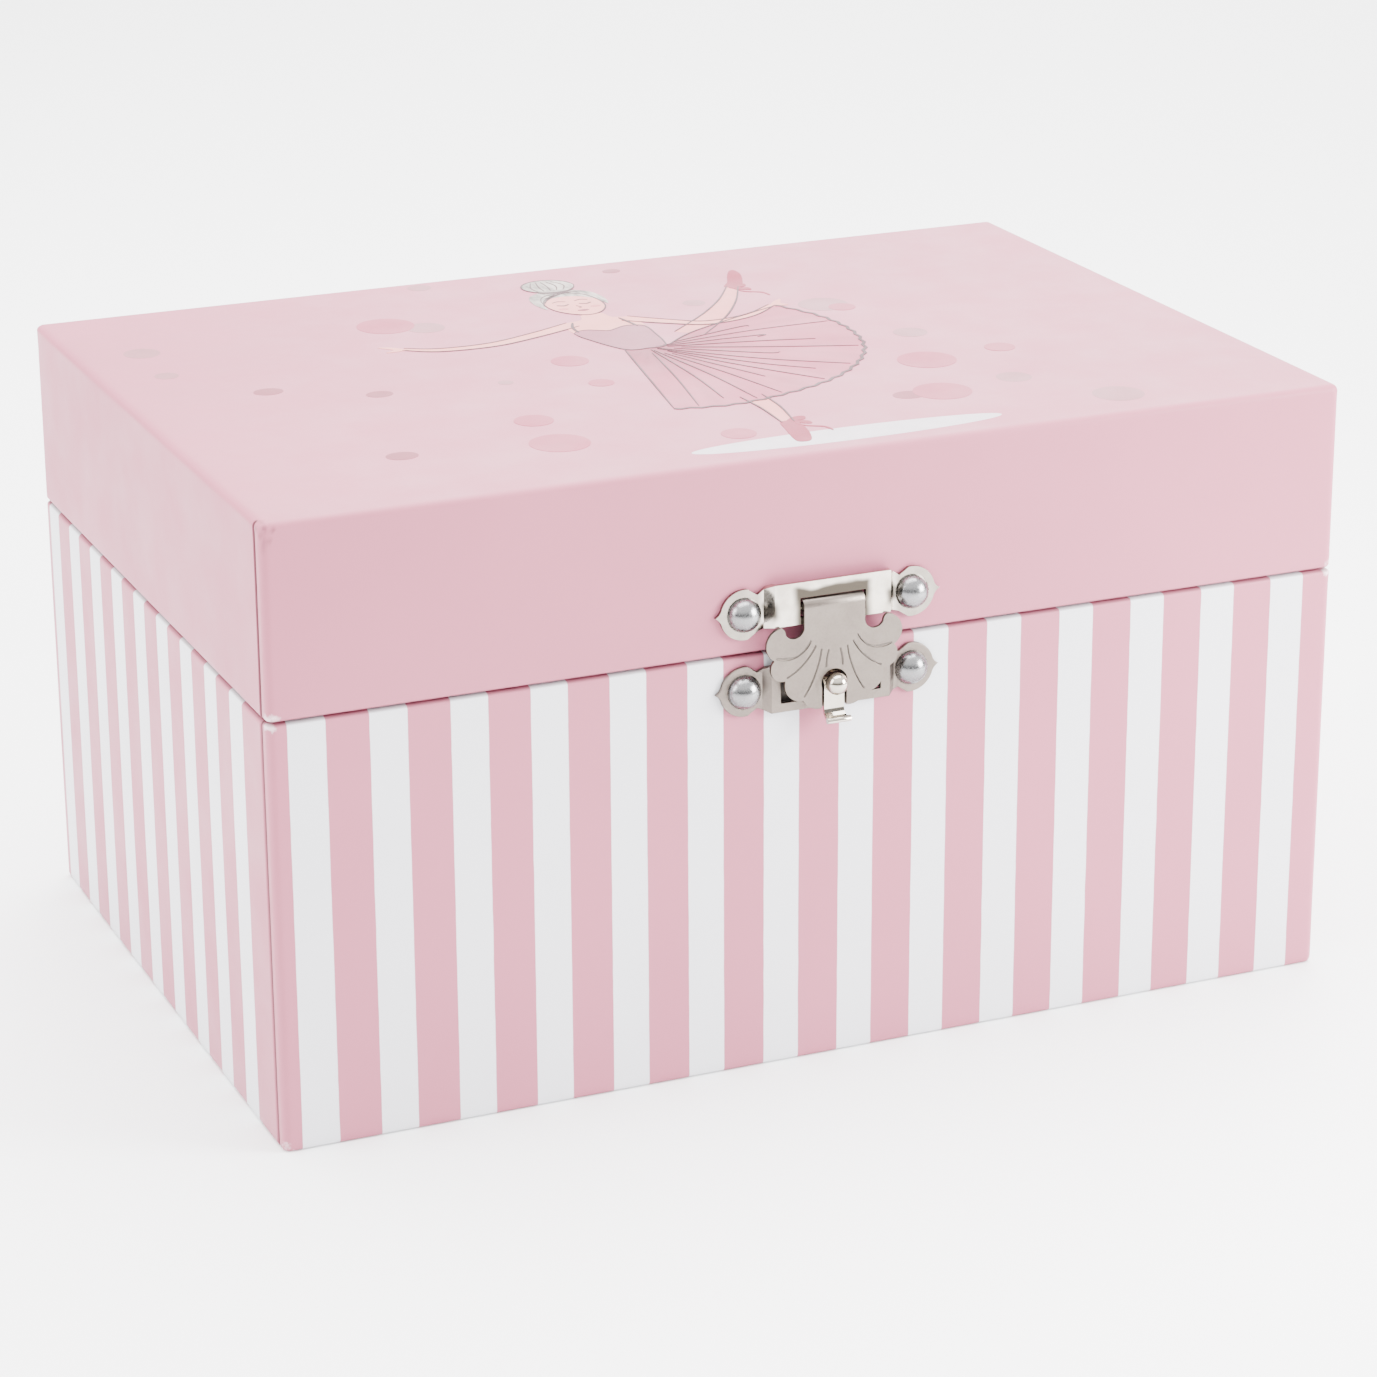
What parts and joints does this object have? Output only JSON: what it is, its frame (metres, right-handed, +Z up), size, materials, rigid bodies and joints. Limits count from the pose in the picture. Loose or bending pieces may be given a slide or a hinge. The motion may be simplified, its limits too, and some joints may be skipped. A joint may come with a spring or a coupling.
{
  "type": "ballerina jewellery box",
  "caption": "Paper-covered board box with a hinged lid, a snap clasp, ring rolls, a mirror and a wind-up movement that turns a dancer on a spring.",
  "frame": {"origin": "middle of the underside, where the closed box stands", "axes": "+X to the right seen from the clasp, +Y to the hinges, +Z up"},
  "size_m": [0.155, 0.1269, 0.086],
  "materials": {
    "striped_paper": "white paper with pale pink stripes, satin coated",
    "pink_paper": "pale pink coated paper, satin",
    "underside_paper": "plain uncoated paper",
    "greyboard": "grey pressed board",
    "lining_paper": "pale pink uncoated paper",
    "flocked_board": "pink flocked paper on card",
    "velvet": "pink velvet over foam",
    "felt": "pressed felt",
    "mirror": "silvered glass",
    "nickel_bright": "polished nickel plate",
    "nickel_satin": "satin nickel plate",
    "hinge_steel": "nickel-plated steel",
    "zinc": "die-cast zinc, tumbled",
    "comb_steel": "ground spring steel",
    "brass": "machined brass",
    "dark_spring_steel": "blued spring steel",
    "screw_steel": "zinc-plated steel",
    "fan_plastic": "black nylon",
    "gear_nylon": "natural nylon",
    "turntable_plastic": "white styrene",
    "dancer_plastic": "painted moulded plastic",
    "tulle": "gathered nylon net"
  },
  "bodies": {
    "base": {"base_front_board": "greyboard", "base_back_board": "greyboard", "base_left_board": "greyboard", "base_right_board": "greyboard", "base_bottom_board": "greyboard", "base_cover_paper": "striped_paper", "underside_sheet": "underside_paper", "base_lining": "lining_paper", "deck_board": "flocked_board", "deck_front_board": "flocked_board", "divider_long": "flocked_board", "divider_cross": "flocked_board", "ring_shelf": "greyboard", "ring_rolls": "velvet", "tray_pads": "velvet", "hinge_base_leaves": "hinge_steel", "hinge_pins": "hinge_steel", "hinge_base_nails": "nickel_satin", "clasp_base_plate": "nickel_satin", "clasp_base_nails": "nickel_satin", "movement_bedplate": "zinc", "movement_screws": "screw_steel", "barrel_bridge": "brass", "cylinder_bracket": "brass", "governor_bracket": "brass", "comb": "comb_steel", "comb_screws": "screw_steel", "stop_spring": "dark_spring_steel"},
    "lid": {"lid_front_board": "greyboard", "lid_back_board": "greyboard", "lid_left_board": "greyboard", "lid_right_board": "greyboard", "lid_top_board": "greyboard", "lid_cover_paper": "pink_paper", "lid_lining": "lining_paper", "mirror_card": "greyboard", "mirror_glass": "mirror", "mirror_frame": "lining_paper", "lid_press_pad": "felt", "hinge_lid_leaves": "hinge_steel", "hinge_lid_nails": "nickel_satin", "clasp_lid_bracket": "nickel_bright", "clasp_lid_nails": "nickel_satin"},
    "hasp": {"clasp_hasp": "nickel_satin"},
    "catch": {"catch_tongue": "nickel_bright"},
    "key": {"winding_key": "nickel_bright", "winding_arbor": "screw_steel"},
    "barrel": {"spring_barrel": "brass", "barrel_cover": "brass", "mainspring": "dark_spring_steel"},
    "cylinder": {"pinned_cylinder": "brass", "cylinder_shaft": "screw_steel", "turntable": "turntable_plastic"},
    "second": {"second_wheel": "gear_nylon"},
    "governor": {"governor_worm": "screw_steel", "governor_fan": "fan_plastic"},
    "stop": {"stop_wire": "screw_steel"},
    "dancer_stem": {"dancer_spring": "comb_steel"},
    "dancer": {"dancer_body": "dancer_plastic", "dancer_tutu": "tulle"}
  },
  "joints": [
    {"name": "lid_hinge", "type": "hinge", "parent": "base", "child": "lid", "pos_m": [0, 0.0541, 0.05955], "axis": [-1, 0, 0], "range_deg": [0, 95]},
    {"name": "hasp_swing", "type": "hinge", "parent": "lid", "child": "hasp", "pos_m": [0, -0.05415, 0.0657], "axis": [-1, 0, 0], "range_deg": [0, 100]},
    {"name": "catch_press", "type": "hinge", "parent": "base", "child": "catch", "pos_m": [0, -0.05325, 0.0573], "axis": [1, 0, 0], "range_deg": [0, 5], "stiffness_Nm_per_rad": 0.02},
    {"name": "key_wind", "type": "hinge", "parent": "base", "child": "key", "pos_m": [0, 0.05, 0.0135], "axis": [0, -1, 0], "range_deg": [0, 1350], "deforming": ["mainspring"]},
    {"name": "barrel_turn", "type": "hinge", "parent": "base", "child": "barrel", "pos_m": [0, 0.042, 0.0135], "axis": [0, 1, 0], "continuous": true},
    {"name": "cylinder_turn", "type": "hinge", "parent": "base", "child": "cylinder", "pos_m": [0, 0.0339, 0.033], "axis": [0, 0, 1], "continuous": true},
    {"name": "second_turn", "type": "hinge", "parent": "base", "child": "second", "pos_m": [-0.0108, 0.0339, 0.033], "axis": [0, 0, 1], "continuous": true},
    {"name": "governor_turn", "type": "hinge", "parent": "base", "child": "governor", "pos_m": [-0.01524, 0.0339, 0.03075], "axis": [0, 1, 0], "continuous": true},
    {"name": "stop_lift", "type": "slide", "parent": "base", "child": "stop", "axis": [0, 0, 1], "range_m": [0, 0.00352], "deforming": ["stop_spring"]},
    {"name": "dancer_rise", "type": "hinge", "parent": "base", "child": "dancer_stem", "pos_m": [0, 0.0339, 0.0525], "axis": [-1, 0, 0], "range_deg": [0, 62.1], "deforming": ["dancer_spring"]},
    {"name": "dancer_spin", "type": "hinge", "parent": "dancer_stem", "child": "dancer", "pos_m": [0, 0.0339, 0.0525], "axis": [0, -0.8829, 0.4695], "continuous": true}
  ],
  "couplings": [
    {"joint": "cylinder_turn", "follows": "barrel_turn", "ratio": -2.8},
    {"joint": "second_turn", "follows": "barrel_turn", "ratio": 5.6},
    {"joint": "governor_turn", "follows": "barrel_turn", "ratio": 100.8},
    {"joint": "dancer_spin", "follows": "barrel_turn", "ratio": -2.8},
    {"joint": "stop_lift", "follows": "lid_hinge", "m_per_rad": 0.0021109},
    {"joint": "dancer_rise", "follows": "lid_hinge", "ratio": 0.65263}
  ]
}
